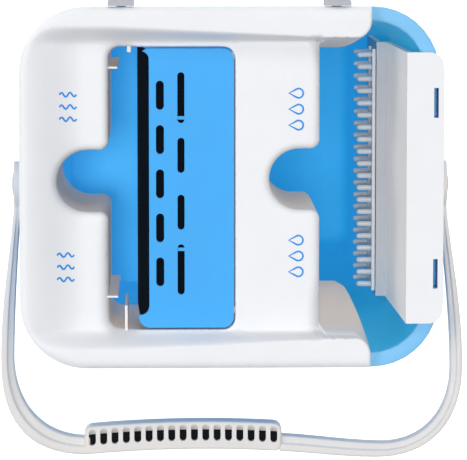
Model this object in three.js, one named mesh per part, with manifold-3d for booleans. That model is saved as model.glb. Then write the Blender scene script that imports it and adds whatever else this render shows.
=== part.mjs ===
// Two-slot flat-mop bucket: a blue tub with a white cover, a squeezing slot on the left,
// a washing slot with a comb on the right, and a bail handle swung forward.
// Millimetres, +Z up, +X towards the washing slot, +Y towards the rear.
// The origin is the middle of the tub's flat underside.
import * as THREE from 'three';
import { mergeVertices } from 'three/addons/utils/BufferGeometryUtils.js';
import Module from 'manifold-3d';

const wasm = await Module();
wasm.setup();

// ---------- driving dimensions ----------
const GAP = 0.3;                 // clearance between neighbouring pieces

// tub
const BODY_X = 112.8;            // half width over the rim flange
const BODY_Y = 97.4;             // half depth over the rim flange
const BODY_R = 36;               // plan corner radius of the rim
const RIM_Z = 360;               // top of the tub's rim
const RIM_WIDTH = 8;             // flange from its outer edge to the inner wall
const WALL = 3;                  // tub wall and floor
const DRAFT = Math.tan(THREE.MathUtils.degToRad(3.2));
const LIP_THICK = 2.5;           // turned-down edge of the flange
const LIP_Z = 344;

// cover
const COVER_TOP = 366;           // top of the raised band
const COVER_WALL = 2.5;
const DISH_TOP = 354;            // top of the recessed panel
const DISH_X = -96;              // left end of the recess
const DISH_Y = 80;               // half depth of the recess
const ARM_END_X = 76;            // right ends of the cover's two arms
const SKIRT_Z = 248;             // lower edge of every guide skirt

// slots in the cover
const DRY = { x0: -65, x1: 3.3, y0: -77.5, y1: 75.7, r: 6.5 };
const DRY_NOTCH = { x: -76.2, y: 3.2, r: 16.7 };
const WASH_X = 48.7;             // left edge of the washing slot
const WASH_NOTCH = { x: 38.1, y: 4, r: 16.5 };
const NOTCH_FILLET = 5;

// squeezing plate
const PLATE = { x0: -48.8, x1: 2.5, y0: -76.5, y1: 74.7, z0: 350, z1: 353, r: 6 };
const PLATE_MID_Y = 1.7;
const HINGE = { x: -1.5, z: 345.3, pin: 1.5, hole: 1.8, barrel: 3.4, length: 126 };
const STRIP_BOTTOM = 303;        // nip of the rubber scraper

// washing comb
const COMB_Y = 73;               // half length of the comb block
const COMB_TOOTH = { count: 20, pitch: 6.95, mid: -0.4, r: 1.7, tip: 75.5 };
const COMB_ROWS = { upper: 243, lower: 211 };
const COMB_FACE_X = 86.3;
const PLATE_LOW = 165;           // lower edge of the comb's face plate

// bail
const PIVOT = { z: 334, shank: 3, hole: 3.3, boss: 6, head: 6, headThick: 1.1 };
const STOP = { r: 9.4, half: 2, depth: 6 };      // the lug inside each eye of the bail
const BAIL_X = 1;                // the bail's middle, shifted by the comb block's thickness
const BAIL_HALF = 117.7;         // half span over the arms at the pivots
const ARM = 3.4;
const BAIL_HEIGHT = 13;
const EYE_R = 12.5;
const GRIP = { x0: -79, x1: 29, y0: -147.4, y1: -132, z0: 327.5, z1: 341, wall: 2, top: 3 };
const GRIP_SLOT = { count: 17, pitch: 6.21, width: 3.8, y0: -142.6, y1: -133.4 };

// rear latches
const LATCH = {
  x: 58, half: 7, top: 363.5, y0: 97.8, y1: 101.2,
  pinY: 99.6, pinZ: 349, pinR: 1, hole: 1.3, barrel: 1.8, knuckle: 2.5,
};

// ---------- solids ----------
function solid(geometry) {
  const bare = geometry.clone();
  bare.deleteAttribute('normal');
  bare.deleteAttribute('uv');
  const merged = mergeVertices(bare.index ? bare.toNonIndexed() : bare, 1e-4);
  return new wasm.Manifold(new wasm.Mesh({
    numProp: 3,
    vertProperties: new Float32Array(merged.attributes.position.array),
    triVerts: new Uint32Array(merged.index.array),
  }));
}

function join(...pieces) {
  return pieces.reduce((whole, piece) => whole.add(piece));
}

function cut(body, ...tools) {
  return tools.reduce((rest, tool) => rest.subtract(tool), body);
}

function slab(shape, z0, z1, curveSegments = 4) {
  const geometry = new THREE.ExtrudeGeometry(shape, {
    depth: z1 - z0, bevelEnabled: false, curveSegments,
  });
  return geometry.translate(0, 0, z0);
}

function block(x0, x1, y0, y1, z0, z1) {
  const geometry = new THREE.BoxGeometry(x1 - x0, y1 - y0, z1 - z0);
  return solid(geometry.translate((x0 + x1) / 2, (y0 + y1) / 2, (z0 + z1) / 2));
}

function roundedRect(x0, x1, y0, y1, r) {
  const shape = new THREE.Shape();
  shape.absarc(x1 - r, y1 - r, r, 0, Math.PI / 2);
  shape.absarc(x0 + r, y1 - r, r, Math.PI / 2, Math.PI);
  shape.absarc(x0 + r, y0 + r, r, Math.PI, 1.5 * Math.PI);
  shape.absarc(x1 - r, y0 + r, r, 1.5 * Math.PI, 2 * Math.PI);
  shape.closePath();
  return shape;
}

function bodyOutline(inset) {
  return roundedRect(inset - BODY_X, BODY_X - inset, inset - BODY_Y, BODY_Y - inset, BODY_R - inset);
}

// the profile lies in the plane of X and Z and runs along Y from y0 to y1
function rail(points, y0, y1) {
  const shape = new THREE.Shape(points.map(([x, z]) => new THREE.Vector2(x, z)));
  const geometry = new THREE.ExtrudeGeometry(shape, { depth: y1 - y0, bevelEnabled: false });
  return geometry.rotateX(Math.PI / 2).translate(0, y1, 0);
}

function rodX(r, x0, x1, y, z, sides = 24) {
  const geometry = new THREE.CylinderGeometry(r, r, x1 - x0, sides);
  return solid(geometry.rotateZ(Math.PI / 2).translate((x0 + x1) / 2, y, z));
}

function rodY(r, y0, y1, x, z, sides = 20) {
  const geometry = new THREE.CylinderGeometry(r, r, y1 - y0, sides);
  return solid(geometry.translate(x, (y0 + y1) / 2, z));
}

// moves every wall of a plan prism inwards with depth, so that the corners stay concentric
function drafted(geometry, inset) {
  const coreX = BODY_X - BODY_R;
  const coreY = BODY_Y - BODY_R;
  const place = geometry.attributes.position;
  for (let i = 0; i < place.count; i += 1) {
    const x = place.getX(i);
    const y = place.getY(i);
    const out = new THREE.Vector2(
      Math.sign(x) * Math.max(Math.abs(x) - coreX, 0),
      Math.sign(y) * Math.max(Math.abs(y) - coreY, 0),
    );
    const move = Math.min((RIM_Z - place.getZ(i)) * DRAFT, out.length() - 1);
    out.setLength(move);
    place.setXY(i, x - out.x, y - out.y);
  }
  return geometry;
}

// ---------- tub ----------
const PADS = [[-68, -54], [68, -54], [-68, 54], [68, 54]];
const PAD_R = 9;
const PAD_DEPTH = 1.5;
const RIM_SLOT = { x0: 109.4, x1: 111.8, y: 46, half: 8 };

function rimSlots(z0, z1) {
  return [-1, 1].map((side) => block(
    RIM_SLOT.x0, RIM_SLOT.x1,
    side * RIM_SLOT.y - RIM_SLOT.half, side * RIM_SLOT.y + RIM_SLOT.half, z0, z1,
  ));
}

// each boss carries a rib on its rear side, which stops the eye's lug at both ends of the swing
function pivotBoss(side) {
  const inner = side * (BODY_X - RIM_WIDTH);
  const outer = side * (BAIL_HALF - ARM - GAP) + BAIL_X;
  const x0 = Math.min(inner, outer);
  const x1 = Math.max(inner, outer);
  const ribY = STOP.half + GAP;
  const ribWidth = 3;
  return join(
    rodX(PIVOT.boss, x0, x1, 0, PIVOT.z),
    block(x0, x1, ribY, ribY + ribWidth, PIVOT.z - STOP.r, PIVOT.z + STOP.r),
  );
}

function latchPinHole(side) {
  const reach = LATCH.half + 1;
  return rodX(LATCH.hole, side * LATCH.x - reach, side * LATCH.x + reach,
    LATCH.pinY, LATCH.pinZ, 12);
}

function latchKnuckle(side) {
  const x0 = side * LATCH.x - LATCH.knuckle;
  const x1 = side * LATCH.x + LATCH.knuckle;
  return join(
    rodX(LATCH.barrel, x0, x1, LATCH.pinY, LATCH.pinZ, 16),
    block(x0, x1, BODY_Y - LIP_THICK, LATCH.pinY,
      LATCH.pinZ - LATCH.barrel, LATCH.pinZ + LATCH.barrel),
  );
}

function tub() {
  const shell = solid(drafted(slab(bodyOutline(RIM_WIDTH - WALL), 0, RIM_Z, 5)));
  const hollow = solid(drafted(slab(bodyOutline(RIM_WIDTH), WALL, RIM_Z + 1, 5)));
  const flange = cut(
    solid(drafted(slab(bodyOutline(0), LIP_Z, RIM_Z, 5))),
    solid(drafted(slab(bodyOutline(LIP_THICK), LIP_Z - 1, RIM_Z - LIP_THICK * 2, 5))),
  );
  const pinHoles = [-1, 1].map((side) => {
    const deep = side * (BODY_X - RIM_WIDTH + WALL);
    const far = side * (BAIL_HALF + WALL);
    return rodX(PIVOT.hole, Math.min(deep, far), Math.max(deep, far), 0, PIVOT.z);
  });
  const padRecesses = PADS.map(([x, y]) => {
    const disc = new THREE.CylinderGeometry(PAD_R, PAD_R, PAD_DEPTH * 2, 24);
    return solid(disc.rotateX(Math.PI / 2).translate(x, y, 0));
  });
  const bosses = [-1, 1].flatMap((side) => [pivotBoss(side), latchKnuckle(side)]);
  return cut(
    join(shell, flange, ...bosses),
    hollow, ...pinHoles, ...padRecesses, ...rimSlots(LIP_Z - 1, RIM_Z + 1),
    latchPinHole(-1), latchPinHole(1),
  );
}

function pad([x, y]) {
  const disc = new THREE.CylinderGeometry(PAD_R - GAP, PAD_R - GAP, PAD_DEPTH - GAP, 24);
  return solid(disc.rotateX(Math.PI / 2).translate(x, y, (PAD_DEPTH - GAP) / 2));
}

// ---------- inner basin below the squeezing slot ----------
const BASIN = { right: 13, top: 235, floor: 162, wall: 2.2, play: 1.5 };
const DRAIN = { count: 5, pitch: 22, half: 5, z0: 168, z1: 174 };

function dryBasin() {
  const { right, top, floor, wall, play } = BASIN;
  const within = (inset, z0, z1) => {
    const tapered = solid(drafted(slab(bodyOutline(RIM_WIDTH + play + inset), z0, z1)));
    return tapered.intersect(block(-BODY_X, right - inset, -BODY_Y, BODY_Y, z0 - 1, z1 + 1));
  };
  const holes = Array.from({ length: DRAIN.count }, (_, i) => {
    const y = (i - (DRAIN.count - 1) / 2) * DRAIN.pitch;
    return block(right - 2 * wall, right + 1, y - DRAIN.half, y + DRAIN.half, DRAIN.z0, DRAIN.z1);
  });
  const feedHalf = 40;
  const feed = block(right - 2 * wall, right + 1, -feedHalf, feedHalf, WALL, feedHalf);
  return cut(
    within(0, WALL + GAP, top),
    within(wall, floor + wall, top + 1),
    within(wall, 0, floor),
    feed,
    ...holes,
  );
}

// ---------- cover ----------
function notchEdge(path, edgeX, notch, grow) {
  const r = notch.r + grow;
  const fillet = NOTCH_FILLET - grow;
  const filletX = edgeX - NOTCH_FILLET;
  const lift = notch.r + NOTCH_FILLET;
  path.absarc(filletX, notch.y + lift, fillet, 0, -Math.PI / 2, true);
  path.absarc(notch.x, notch.y, r, Math.PI / 2, 1.5 * Math.PI);
  path.absarc(filletX, notch.y - lift, fillet, Math.PI / 2, 0, true);
}

function dryOutline(grow) {
  const { x0, x1, y0, y1, r } = DRY;
  const shape = new THREE.Shape();
  shape.absarc(x1 - r, y1 - r, r + grow, 0, Math.PI / 2);
  shape.absarc(x0 + r, y1 - r, r + grow, Math.PI / 2, Math.PI);
  notchEdge(shape, x0, DRY_NOTCH, grow);
  shape.absarc(x0 + r, y0 + r, r + grow, Math.PI, 1.5 * Math.PI);
  shape.absarc(x1 - r, y0 + r, r + grow, 1.5 * Math.PI, 2 * Math.PI);
  shape.closePath();
  return shape;
}

function washOutline(grow) {
  const corner = 4.3;
  const armR = 10;
  const far = BODY_Y + 20;
  const shape = new THREE.Shape();
  shape.moveTo(ARM_END_X - grow, far);
  shape.absarc(ARM_END_X - armR, DISH_Y + armR, armR - grow, 0, -Math.PI / 2, true);
  shape.absarc(WASH_X + corner, DISH_Y - corner, corner + grow, Math.PI / 2, Math.PI);
  notchEdge(shape, WASH_X, WASH_NOTCH, grow);
  shape.absarc(WASH_X + corner, corner - DISH_Y, corner + grow, Math.PI, 1.5 * Math.PI);
  shape.absarc(ARM_END_X - armR, -DISH_Y - armR, armR - grow, Math.PI / 2, 0, true);
  shape.lineTo(ARM_END_X - grow, -far);
  shape.lineTo(BODY_X + 20, -far);
  shape.lineTo(BODY_X + 20, far);
  shape.closePath();
  return shape;
}

function dishOutline(grow) {
  const r = 22;
  return roundedRect(DISH_X - grow, BODY_X + 30, -DISH_Y - grow, DISH_Y + grow, r + grow);
}

// the washing slot's prism, whose two ends lean inwards with depth, more at the front
const WASH_LEAN = { rear: 10, front: 16 };

function washPrism(grow, z0, z1) {
  const geometry = slab(washOutline(grow), z0, z1);
  const place = geometry.attributes.position;
  for (let i = 0; i < place.count; i += 1) {
    const y = place.getY(i);
    const depth = (COVER_TOP - place.getZ(i)) / (COVER_TOP - SKIRT_Z);
    const lean = y > 0 ? -WASH_LEAN.rear : WASH_LEAN.front;
    if (Math.abs(y) > DISH_Y / 2) place.setY(i, y + lean * depth);
  }
  return solid(geometry);
}

// the skirt around the washing slot: its free ends rise in a curve to the tips of the arms
function washSkirt() {
  const beyond = BODY_X + 30;
  const free = solid(rail([
    [63, SKIRT_Z - 1], [68, 262], [71.5, 300], [73.5, 330], [75, DISH_TOP], [beyond, DISH_TOP],
    [beyond, SKIRT_Z - 1],
  ], -BODY_Y - 30, BODY_Y + 30));
  const inTub = solid(drafted(slab(bodyOutline(RIM_WIDTH + 1), SKIRT_Z - 1, COVER_TOP + 1, 5)));
  const aboveDish = solid(slab(dishOutline(0), DISH_TOP - 1, COVER_TOP));
  return cut(washPrism(COVER_WALL, SKIRT_Z, COVER_TOP - 1), free, aboveDish).intersect(inTub);
}

function guideFins() {
  const top = DISH_TOP - 3;
  const low = SKIRT_Z + 8;
  const left = DRY.x0 - 1;
  const front = rail([[-56.5, 300], [-54.5, 300], [-54.5, top], [-56.5, top]],
    DRY.y0 - 1, DRY.y0 + 13);
  return [
    block(left, DRY.x0 + 5, 63.6, 64.8, low, top),
    block(left, DRY.x0 + 5, -60.4, -59.2, low, top),
    block(-54.9, -52.7, DRY.y1 - 3.2, DRY.y1 + 1, low, top),
    solid(front),
  ];
}

function hingeEars() {
  const reach = HINGE.length / 2;
  return [-1, 1].map((side) => {
    const near = side * (reach + 4) + PLATE_MID_Y;
    const far = side * (reach + 8) + PLATE_MID_Y;
    return block(HINGE.x - 4, DRY.x1 + 1, Math.min(near, far), Math.max(near, far),
      HINGE.z - 5, PLATE.z0 - 0.6);
  });
}

function cover() {
  const lipDepth = 9;
  const band = solid(slab(bodyOutline(0), RIM_Z + GAP, COVER_TOP, 5));
  const bowl = solid(slab(dishOutline(COVER_WALL), DISH_TOP - COVER_WALL, COVER_TOP));
  const inRim = solid(slab(bodyOutline(RIM_WIDTH), DISH_TOP - COVER_WALL - 1, COVER_TOP + 1));
  const lip = cut(
    solid(slab(bodyOutline(RIM_WIDTH + 1), RIM_Z - lipDepth, RIM_Z + 1)),
    solid(slab(bodyOutline(RIM_WIDTH + 1 + COVER_WALL), RIM_Z - lipDepth - 1, RIM_Z + 2)),
  );
  const body = join(band, bowl.intersect(inRim), lip);
  const drySkirt = solid(slab(dryOutline(COVER_WALL), SKIRT_Z, DISH_TOP - 1));
  const recessed = cut(body, solid(slab(dishOutline(0), DISH_TOP, COVER_TOP + 1)));
  const opened = cut(
    join(recessed, drySkirt, washSkirt()),
    solid(slab(dryOutline(0), SKIRT_Z - 1, COVER_TOP + 1)),
    washPrism(0, SKIRT_Z - 1, COVER_TOP + 1),
  );
  const dressed = join(opened, ...guideFins(), ...hingeEars());
  const pinReach = HINGE.length / 2 + 9;
  return cut(dressed,
    rodY(HINGE.hole, PLATE_MID_Y - pinReach, PLATE_MID_Y + pinReach, HINGE.x, HINGE.z));
}

// ---------- squeezing plate and what it carries ----------
function slotPrism(x, y, width, length, z0, z1) {
  return solid(slab(
    roundedRect(x - width / 2, x + width / 2, y - length / 2, y + length / 2, width / 2 - 0.01),
    z0, z1, 2,
  ));
}

function stripRecess(grow) {
  return roundedRect(
    PLATE.x0 - 8, PLATE.x0 + 5.6 + grow, PLATE.y0 + 7 - grow, PLATE.y1 - 1.4 + grow, 4.5 + grow,
  );
}

function slottedPlate() {
  const { x0, x1, y0, y1, z0, z1, r } = PLATE;
  const sheet = solid(slab(roundedRect(x0, x1, y0, y1, r), z0, z1));
  const low = z0 - 1;
  const high = z1 + 1;
  const inset = solid(slab(stripRecess(0), low, high));
  const shortSlots = [-2, -1, 0, 1, 2].map((i) => slotPrism(
    -37.3, PLATE_MID_Y + i * 23.9, 4.3, 15.7, low, high,
  ));
  const longSlots = [[46.5, 27.4], [15.4, 19]].flatMap(([offset, length]) => [-1, 1].map((side) => (
    slotPrism(-26, PLATE_MID_Y + side * offset, 3.8, length, low, high)
  )));
  const bridges = [-1, 1].map((side) => block(
    -29, -23, PLATE_MID_Y + side * 35.6 - 0.9, PLATE_MID_Y + side * 35.6 + 0.9, z0, z1 - 0.6,
  ));
  const half = HINGE.length / 2;
  const barrel = join(
    rodY(HINGE.barrel, PLATE_MID_Y - half, PLATE_MID_Y + half, HINGE.x, HINGE.z),
    block(HINGE.x - 2, HINGE.x + 2, PLATE_MID_Y - half, PLATE_MID_Y + half, HINGE.z + 2, z0 + 1),
  );
  const plate = join(cut(sheet, inset, ...shortSlots, ...longSlots), ...bridges, barrel);
  return cut(plate, rodY(HINGE.hole, -90, 90, HINGE.x, HINGE.z));
}

function plateBacking() {
  const tray = solid(slab(
    roundedRect(PLATE.x0 + 6, HINGE.x - 4.6, PLATE.y0 + 2, PLATE.y1 - 2, 4),
    PLATE.z0 - 3.2, PLATE.z0 - GAP,
  ));
  const web = solid(rail(
    [[-42.8, 349], [-44.8, STRIP_BOTTOM + 4], [-41.8, STRIP_BOTTOM + 4], [-39.8, 349]],
    PLATE.y0 + 9, PLATE.y1 - 3.5,
  ));
  return join(tray, web);
}

function scraperStrip() {
  const bar = solid(rail(
    [[-48.5, 352], [-43, 352], [-43, 346], [-45.3, STRIP_BOTTOM], [-49.8, STRIP_BOTTOM]],
    PLATE.y0, PLATE.y1,
  ));
  return bar.intersect(solid(slab(stripRecess(-GAP), STRIP_BOTTOM - 1, PLATE.z1)));
}

function hingePin() {
  const half = HINGE.length / 2 + 8.6;
  return rodY(HINGE.pin, PLATE_MID_Y - half, PLATE_MID_Y + half, HINGE.x, HINGE.z, 16);
}

// a torsion spring: close turns around the hinge pin
function hingeSpring(side) {
  const turns = 3;
  const wire = 0.4;
  const coil = new THREE.Curve();
  const start = PLATE_MID_Y + side * (HINGE.length / 2 + 0.8);
  coil.getPoint = (t, target = new THREE.Vector3()) => {
    const angle = 2 * Math.PI * turns * t;
    return target.set(
      HINGE.x + 2.6 * Math.cos(angle), start + side * 2.4 * t, HINGE.z + 2.6 * Math.sin(angle),
    );
  };
  const section = new THREE.Shape();
  section.absarc(0, 0, wire, 0, 2 * Math.PI);
  return solid(new THREE.ExtrudeGeometry(section, {
    steps: 27, curveSegments: 3, extrudePath: coil, bevelEnabled: false,
  }));
}

// ---------- washing comb ----------
function combBlock() {
  const outer = BODY_X + 2;
  const section = [
    [94.8, COVER_TOP], [outer, COVER_TOP], [outer, 345.5], [BODY_X + GAP, 345.5],
    [BODY_X + GAP, RIM_Z + GAP], [97.8, RIM_Z + GAP], [94.8, 252], [94.8, 245],
    [COMB_FACE_X + WALL, 245], [COMB_FACE_X + WALL, PLATE_LOW], [COMB_FACE_X, PLATE_LOW],
    [COMB_FACE_X, 248],
    [91.8, 248],
  ];
  const plan = (outline) => solid(slab(outline, PLATE_LOW, COVER_TOP + 1));
  const rounded = solid(rail(section, -COMB_Y, COMB_Y))
    .intersect(plan(bodyOutline(BODY_X - outer)))
    .intersect(plan(roundedRect(0, outer, -COMB_Y, COMB_Y, 8)));
  return cut(rounded, ...rimSlots(DISH_TOP, COVER_TOP + 1));
}

function combStrip(z) {
  const { count, pitch, mid, r, tip } = COMB_TOOTH;
  const half = (count - 1) * pitch / 2 + 3.4;
  const back = block(COMB_FACE_X - 2.4, COMB_FACE_X - GAP, mid - half, mid + half, z - 4, z + 4.7);
  const teeth = [];
  for (let i = 0; i < count; i += 1) {
    const length = COMB_FACE_X - 1.4 - tip;
    const profile = [[0, 0], [r, 0], [r, length - r], [r * 0.71, length - r * 0.29], [0, length]];
    const peg = new THREE.LatheGeometry(profile.map(([x, y]) => new THREE.Vector2(x, y)), 8);
    const y = mid + (i - (count - 1) / 2) * pitch;
    teeth.push(solid(peg.rotateZ(Math.PI / 2).translate(COMB_FACE_X - 1.4, y, z)));
  }
  return join(back, ...teeth);
}

// ---------- bail ----------
function bailOutline() {
  const mid = BAIL_X;
  const shape = new THREE.Shape();
  const innerEnd = BAIL_HALF - ARM;
  shape.moveTo(mid - BAIL_HALF, 0);
  shape.lineTo(mid - BAIL_HALF, -EYE_R);
  shape.bezierCurveTo(mid - 120, -30, mid - 127, -62, mid - 127, -100);
  shape.bezierCurveTo(mid - 127, -131, mid - 108, -150.5, mid - 80, -150.5);
  shape.bezierCurveTo(mid - 50, -150, mid - 30, -146, mid + 0, -146);
  shape.bezierCurveTo(mid + 30, -146, mid + 50, -150, mid + 80, -150.5);
  shape.bezierCurveTo(mid + 108, -150.5, mid + 127, -131, mid + 127, -100);
  shape.bezierCurveTo(mid + 127, -62, mid + 120, -30, mid + BAIL_HALF, -EYE_R);
  shape.lineTo(mid + BAIL_HALF, 0);
  shape.lineTo(mid + innerEnd, 0);
  shape.lineTo(mid + innerEnd, -EYE_R);
  shape.bezierCurveTo(mid + 116, -30, mid + 120, -62, mid + 120, -98);
  shape.bezierCurveTo(mid + 120, -124, mid + 104, -140.8, mid + 80, -140.8);
  shape.bezierCurveTo(mid + 50, -140, mid + 30, -137, mid + 0, -137);
  shape.bezierCurveTo(mid - 30, -137, mid - 50, -140, mid - 80, -140.8);
  shape.bezierCurveTo(mid - 104, -140.8, mid - 120, -124, mid - 120, -98);
  shape.bezierCurveTo(mid - 120, -62, mid - 116, -30, mid - innerEnd, -EYE_R);
  shape.lineTo(mid - innerEnd, 0);
  shape.closePath();
  return shape;
}

function gripOutline(inset) {
  const { x0, x1, y0, y1 } = GRIP;
  return roundedRect(x0 + inset, x1 - inset, y0 + inset * 1.4, y1 - inset * 0.5, 4);
}

function gripSlots() {
  const { count, pitch, width, y0, y1 } = GRIP_SLOT;
  const middle = (GRIP.x0 + GRIP.x1) / 2;
  return Array.from({ length: count }, (_, i) => slotPrism(
    middle + (i - (count - 1) / 2) * pitch, (y0 + y1) / 2, width, y1 - y0,
    GRIP.z1 - GRIP.top - 1, GRIP.z1 + 1,
  ));
}

// the x of a face of the bail's arm, measured inwards from its outer face
function armX(side, inwards) {
  return BAIL_X + side * (BAIL_HALF - inwards);
}

function rodFrom(r, xa, xb, sides) {
  return rodX(r, Math.min(xa, xb), Math.max(xa, xb), 0, PIVOT.z, sides);
}

function bail() {
  const low = PIVOT.z - BAIL_HEIGHT / 2;
  const hoop = solid(slab(bailOutline(), low, low + BAIL_HEIGHT, 5));
  const eyes = [-1, 1].map((side) => rodFrom(EYE_R, armX(side, 0), armX(side, ARM)));
  const lugs = [-1, 1].map((side) => {
    const root = armX(side, ARM / 2);
    const tip = armX(side, ARM + STOP.depth);
    return block(Math.min(root, tip), Math.max(root, tip), -STOP.half, STOP.half,
      PIVOT.z - STOP.r, PIVOT.z - PIVOT.boss - GAP);
  });
  const grip = solid(slab(gripOutline(0), GRIP.z0, GRIP.z1, 2));
  const hollow = solid(slab(gripOutline(GRIP.wall), GRIP.z0 - 1, GRIP.z1 - GRIP.top, 2));
  const holes = rodFrom(PIVOT.hole, armX(-1, -ARM), armX(1, -ARM));
  const headRooms = [-1, 1].map((side) => (
    rodFrom(PIVOT.head + GAP, armX(side, -1), armX(side, PIVOT.headThick + GAP))
  ));
  return cut(join(hoop, ...eyes, ...lugs, grip), hollow, ...gripSlots(), holes, ...headRooms);
}

function gripInsert() {
  const low = GRIP.z0 + 0.5;
  return solid(slab(gripOutline(GRIP.wall + GAP), low, GRIP.z1 - GRIP.top - GAP, 2));
}

// a snap rivet: its head is let into the eye and its shank reaches into the tub's boss
function pivotPin(side) {
  const deep = side * (BODY_X - RIM_WIDTH + WALL + 1);
  return join(
    rodFrom(PIVOT.shank, deep, armX(side, 0), 20),
    rodFrom(PIVOT.head, armX(side, 0), armX(side, PIVOT.headThick)),
  );
}

// ---------- rear latches ----------
// a latch turns on the tub's rim and stands up behind the cover's edge
function latch(side) {
  const x0 = side * LATCH.x - LATCH.half;
  const x1 = side * LATCH.x + LATCH.half;
  const { y0, y1, top, pinY, pinZ, barrel, knuckle } = LATCH;
  const plan = roundedRect(x0, x1, y0 - 2, y1, 1.6);
  const leaf = solid(slab(plan, pinZ, top, 2)).intersect(block(x0, x1, y0, y1, pinZ, top));
  const room = block(side * LATCH.x - knuckle - GAP, side * LATCH.x + knuckle + GAP,
    y0 - 1, y1 + 1, pinZ - barrel - 1, pinZ + barrel + GAP * 2);
  return cut(join(leaf, rodX(barrel, x0, x1, pinY, pinZ, 16)), room, latchPinHole(side));
}

function latchPin(side) {
  const half = LATCH.half - GAP;
  return rodX(LATCH.pinR, side * LATCH.x - half, side * LATCH.x + half,
    LATCH.pinY, LATCH.pinZ, 12);
}

// ---------- assembly ----------
const FINISH = {
  bluePlastic: { color: 0x2f93dc, roughness: 0.42, metalness: 0 },
  paleBluePlastic: { color: 0x4db1f8, roughness: 0.45, metalness: 0 },
  whitePlastic: { color: 0xe4e6e9, roughness: 0.5, metalness: 0 },
  greyPlastic: { color: 0xcdd0d4, roughness: 0.5, metalness: 0 },
  blackPlastic: { color: 0x0c1116, roughness: 0.6, metalness: 0 },
  rubber: { color: 0x08090b, roughness: 0.75, metalness: 0 },
  padRubber: { color: 0x5a5f66, roughness: 0.8, metalness: 0 },
  steel: { color: 0xb9bcc0, roughness: 0.3, metalness: 1 },
};

const part = new THREE.Group();

function place(name, body, finish) {
  const { vertProperties, triVerts, numProp } = body.getMesh();
  const position = new Float32Array((vertProperties.length / numProp) * 3);
  for (let i = 0; i < position.length / 3; i += 1) {
    position.set(vertProperties.subarray(i * numProp, i * numProp + 3), i * 3);
  }
  const geometry = new THREE.BufferGeometry();
  geometry.setAttribute('position', new THREE.BufferAttribute(position, 3));
  geometry.setIndex(new THREE.BufferAttribute(new Uint32Array(triVerts), 1));
  geometry.computeVertexNormals();
  const mesh = new THREE.Mesh(geometry, new THREE.MeshStandardMaterial(FINISH[finish]));
  mesh.name = name;
  part.add(mesh);
}

place('tub', tub(), 'bluePlastic');
['front_left', 'front_right', 'rear_left', 'rear_right'].forEach((where, i) => {
  place(`base_pad_${where}`, pad(PADS[i]), 'padRubber');
});
place('dry_basin', dryBasin(), 'paleBluePlastic');
place('cover', cover(), 'whitePlastic');
place('slotted_plate', slottedPlate(), 'paleBluePlastic');
place('plate_backing', plateBacking(), 'blackPlastic');
place('scraper_strip', scraperStrip(), 'rubber');
place('plate_hinge_pin', hingePin(), 'steel');
place('plate_spring_rear', hingeSpring(1), 'steel');
place('plate_spring_front', hingeSpring(-1), 'steel');
place('comb_block', combBlock(), 'whitePlastic');
place('comb_strip_upper', combStrip(COMB_ROWS.upper), 'greyPlastic');
place('comb_strip_lower', combStrip(COMB_ROWS.lower), 'greyPlastic');
place('bail', bail(), 'whitePlastic');
place('grip_insert', gripInsert(), 'blackPlastic');
[['left', -1], ['right', 1]].forEach(([where, side]) => {
  place(`bail_pin_${where}`, pivotPin(side), 'greyPlastic');
  place(`latch_${where}`, latch(side), 'greyPlastic');
  place(`latch_pin_${where}`, latchPin(side), 'steel');
});

export default part;
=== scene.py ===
import math

import bmesh
import bpy
import numpy as np
from mathutils import Matrix, Vector
from mathutils.geometry import delaunay_2d_cdt


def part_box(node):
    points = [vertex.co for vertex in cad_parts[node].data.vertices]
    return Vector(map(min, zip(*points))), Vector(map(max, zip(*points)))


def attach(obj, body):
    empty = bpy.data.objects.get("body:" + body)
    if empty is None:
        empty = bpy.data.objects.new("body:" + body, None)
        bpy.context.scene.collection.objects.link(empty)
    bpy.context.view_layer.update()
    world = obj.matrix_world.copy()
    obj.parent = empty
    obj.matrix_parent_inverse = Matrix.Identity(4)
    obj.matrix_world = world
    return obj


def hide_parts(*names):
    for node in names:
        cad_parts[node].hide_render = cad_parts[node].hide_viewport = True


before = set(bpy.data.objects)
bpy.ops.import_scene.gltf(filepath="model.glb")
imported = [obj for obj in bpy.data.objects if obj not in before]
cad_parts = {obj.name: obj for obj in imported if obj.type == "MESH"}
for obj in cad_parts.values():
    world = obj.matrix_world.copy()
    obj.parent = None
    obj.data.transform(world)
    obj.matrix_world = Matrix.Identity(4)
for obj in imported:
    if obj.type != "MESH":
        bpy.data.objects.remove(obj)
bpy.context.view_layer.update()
MM = 0.001


# ---------------------------------------------------------------------------
# Camera, studio light and floor.
# A long lens looks almost straight down into the bucket from behind its rear
# edge. Three soft lights stand beside the lens, to the left and to the rear, and
# the table is lit from below.
# ---------------------------------------------------------------------------
LENS_AT = Vector((-37.4, 160.3, 2066.0)) * MM
LOOK_AT = Vector((2.0, -22.0, 366.0)) * MM
FOCAL_MM = 245.96
FILM_MM = 36.0


def facing(eye, target, up):
    """A matrix at eye whose -Z looks at target, with +Y as near to up as it can be."""
    ahead = (target - eye).normalized()
    side = ahead.cross(up).normalized()
    top = side.cross(ahead)
    turn = Matrix((side, top, -ahead)).transposed().to_4x4()
    return Matrix.Translation(eye) @ turn


lens = bpy.data.cameras.new("camera")
lens.lens = FOCAL_MM
lens.sensor_width = FILM_MM
lens.sensor_fit = "HORIZONTAL"
lens.clip_start = 0.1
lens.clip_end = 30.0
camera = bpy.data.objects.new("camera", lens)
camera.matrix_world = facing(LENS_AT, LOOK_AT, Vector((0, 1, 0)))
bpy.context.scene.collection.objects.link(camera)
bpy.context.scene.camera = camera


def linear(hex_colour):
    """The linear RGBA of an sRGB hex colour such as 'E6E8EA'."""
    channels = [int(hex_colour[i:i + 2], 16) / 255 for i in (0, 2, 4)]
    return [c / 12.92 if c <= 0.04045 else ((c + 0.055) / 1.055) ** 2.4 for c in channels] + [1.0]


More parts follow.
